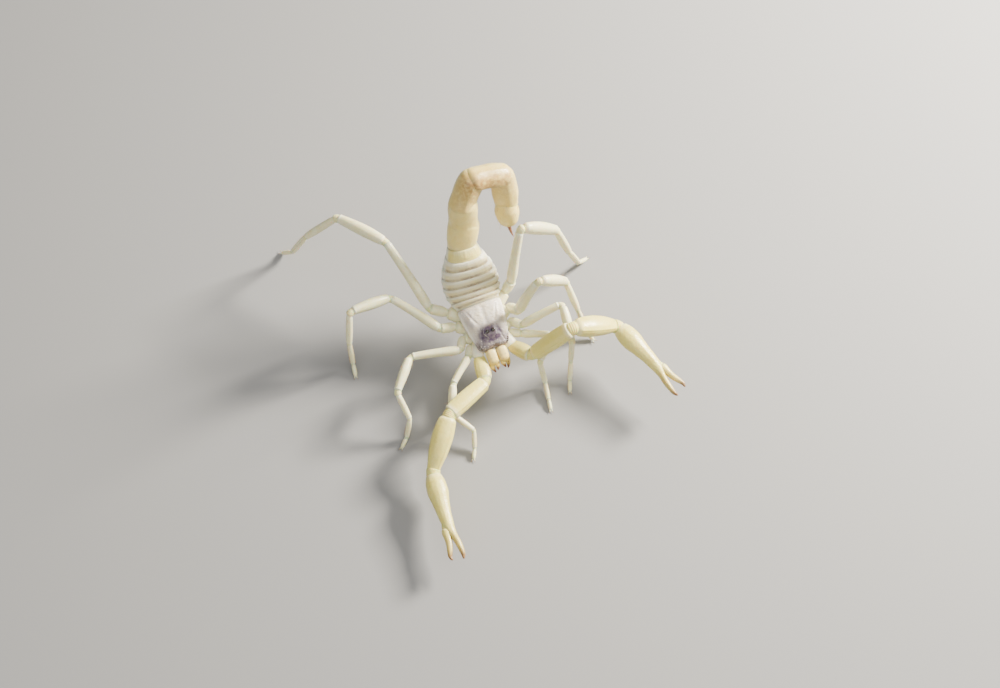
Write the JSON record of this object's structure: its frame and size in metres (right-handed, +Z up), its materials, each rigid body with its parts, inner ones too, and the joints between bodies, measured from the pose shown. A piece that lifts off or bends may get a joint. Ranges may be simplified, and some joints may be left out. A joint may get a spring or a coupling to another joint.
{
  "type": "desert scorpion, life-size museum model",
  "caption": "Life-size desert scorpion standing on its legs, pincers reaching forward and tail arched over to one side, as a still museum model.",
  "frame": {"origin": "centre of the part's footprint, on the floor", "axes": "+Z up; the head points along -Y and the animal's left side is +X"},
  "size_m": [0.0478, 0.0568, 0.0253],
  "materials": {
    "carapace": "waxy, slightly translucent shell, satin",
    "coxae_sternum": "waxy, slightly translucent shell, satin",
    "trunk_1": "waxy shell plate, pale with a dusky band",
    "trunk_2": "waxy shell plate, pale with a dusky band",
    "trunk_3": "waxy shell plate, pale with a dusky band",
    "trunk_4": "waxy shell plate, pale with a dusky band",
    "trunk_5": "waxy shell plate, pale with a dusky band",
    "trunk_6": "waxy shell plate, pale with a dusky band",
    "trunk_7": "waxy shell plate, pale with a dusky band",
    "tail_1": "waxy, slightly translucent shell, satin",
    "tail_2": "waxy, slightly translucent shell, satin",
    "tail_3": "waxy, slightly translucent shell, satin",
    "tail_4": "waxy, slightly translucent shell, satin",
    "tail_5": "waxy, slightly translucent shell, satin",
    "sting_bulb": "waxy, slightly translucent shell, satin",
    "sting_spine": "smooth dark horn",
    "eye_left": "polished black lens",
    "chelicera_left": "waxy, slightly translucent shell, satin",
    "pecten_left": "waxy, slightly translucent shell, satin",
    "leg_1_left_femur": "waxy, slightly translucent shell, satin",
    "leg_1_left_patella": "waxy, slightly translucent shell, satin",
    "leg_1_left_foot": "waxy, slightly translucent shell, satin",
    "leg_2_left_femur": "waxy, slightly translucent shell, satin",
    "leg_2_left_patella": "waxy, slightly translucent shell, satin",
    "leg_2_left_foot": "waxy, slightly translucent shell, satin",
    "leg_3_left_femur": "waxy, slightly translucent shell, satin",
    "leg_3_left_patella": "waxy, slightly translucent shell, satin",
    "leg_3_left_foot": "waxy, slightly translucent shell, satin",
    "leg_4_left_femur": "waxy, slightly translucent shell, satin",
    "leg_4_left_patella": "waxy, slightly translucent shell, satin",
    "leg_4_left_foot": "waxy, slightly translucent shell, satin",
    "arm_left_trochanter": "waxy, slightly translucent shell, satin",
    "arm_left_femur": "waxy, slightly translucent shell, satin",
    "arm_left_patella": "waxy, slightly translucent shell, satin",
    "claw_left_palm": "waxy, slightly translucent shell, satin",
    "claw_left_finger": "waxy, slightly translucent shell, satin",
    "eye_right": "polished black lens",
    "chelicera_right": "waxy, slightly translucent shell, satin",
    "pecten_right": "waxy, slightly translucent shell, satin",
    "leg_1_right_femur": "waxy, slightly translucent shell, satin",
    "leg_1_right_patella": "waxy, slightly translucent shell, satin",
    "leg_1_right_foot": "waxy, slightly translucent shell, satin",
    "leg_2_right_femur": "waxy, slightly translucent shell, satin",
    "leg_2_right_patella": "waxy, slightly translucent shell, satin",
    "leg_2_right_foot": "waxy, slightly translucent shell, satin",
    "leg_3_right_femur": "waxy, slightly translucent shell, satin",
    "leg_3_right_patella": "waxy, slightly translucent shell, satin",
    "leg_3_right_foot": "waxy, slightly translucent shell, satin",
    "leg_4_right_femur": "waxy, slightly translucent shell, satin",
    "leg_4_right_patella": "waxy, slightly translucent shell, satin",
    "leg_4_right_foot": "waxy, slightly translucent shell, satin",
    "arm_right_trochanter": "waxy, slightly translucent shell, satin",
    "arm_right_femur": "waxy, slightly translucent shell, satin",
    "arm_right_patella": "waxy, slightly translucent shell, satin",
    "claw_right_palm": "waxy, slightly translucent shell, satin",
    "claw_right_finger": "waxy, slightly translucent shell, satin"
  },
  "bodies": {
    "root": {"carapace": "carapace", "coxae_sternum": "coxae_sternum", "trunk_1": "trunk_1", "trunk_2": "trunk_2", "trunk_3": "trunk_3", "trunk_4": "trunk_4", "trunk_5": "trunk_5", "trunk_6": "trunk_6", "trunk_7": "trunk_7", "tail_1": "tail_1", "tail_2": "tail_2", "tail_3": "tail_3", "tail_4": "tail_4", "tail_5": "tail_5", "sting_bulb": "sting_bulb", "sting_spine": "sting_spine", "eye_left": "eye_left", "chelicera_left": "chelicera_left", "pecten_left": "pecten_left", "leg_1_left_femur": "leg_1_left_femur", "leg_1_left_patella": "leg_1_left_patella", "leg_1_left_foot": "leg_1_left_foot", "leg_2_left_femur": "leg_2_left_femur", "leg_2_left_patella": "leg_2_left_patella", "leg_2_left_foot": "leg_2_left_foot", "leg_3_left_femur": "leg_3_left_femur", "leg_3_left_patella": "leg_3_left_patella", "leg_3_left_foot": "leg_3_left_foot", "leg_4_left_femur": "leg_4_left_femur", "leg_4_left_patella": "leg_4_left_patella", "leg_4_left_foot": "leg_4_left_foot", "arm_left_trochanter": "arm_left_trochanter", "arm_left_femur": "arm_left_femur", "arm_left_patella": "arm_left_patella", "claw_left_palm": "claw_left_palm", "claw_left_finger": "claw_left_finger", "eye_right": "eye_right", "chelicera_right": "chelicera_right", "pecten_right": "pecten_right", "leg_1_right_femur": "leg_1_right_femur", "leg_1_right_patella": "leg_1_right_patella", "leg_1_right_foot": "leg_1_right_foot", "leg_2_right_femur": "leg_2_right_femur", "leg_2_right_patella": "leg_2_right_patella", "leg_2_right_foot": "leg_2_right_foot", "leg_3_right_femur": "leg_3_right_femur", "leg_3_right_patella": "leg_3_right_patella", "leg_3_right_foot": "leg_3_right_foot", "leg_4_right_femur": "leg_4_right_femur", "leg_4_right_patella": "leg_4_right_patella", "leg_4_right_foot": "leg_4_right_foot", "arm_right_trochanter": "arm_right_trochanter", "arm_right_femur": "arm_right_femur", "arm_right_patella": "arm_right_patella", "claw_right_palm": "claw_right_palm", "claw_right_finger": "claw_right_finger"}
  },
  "joints": []
}
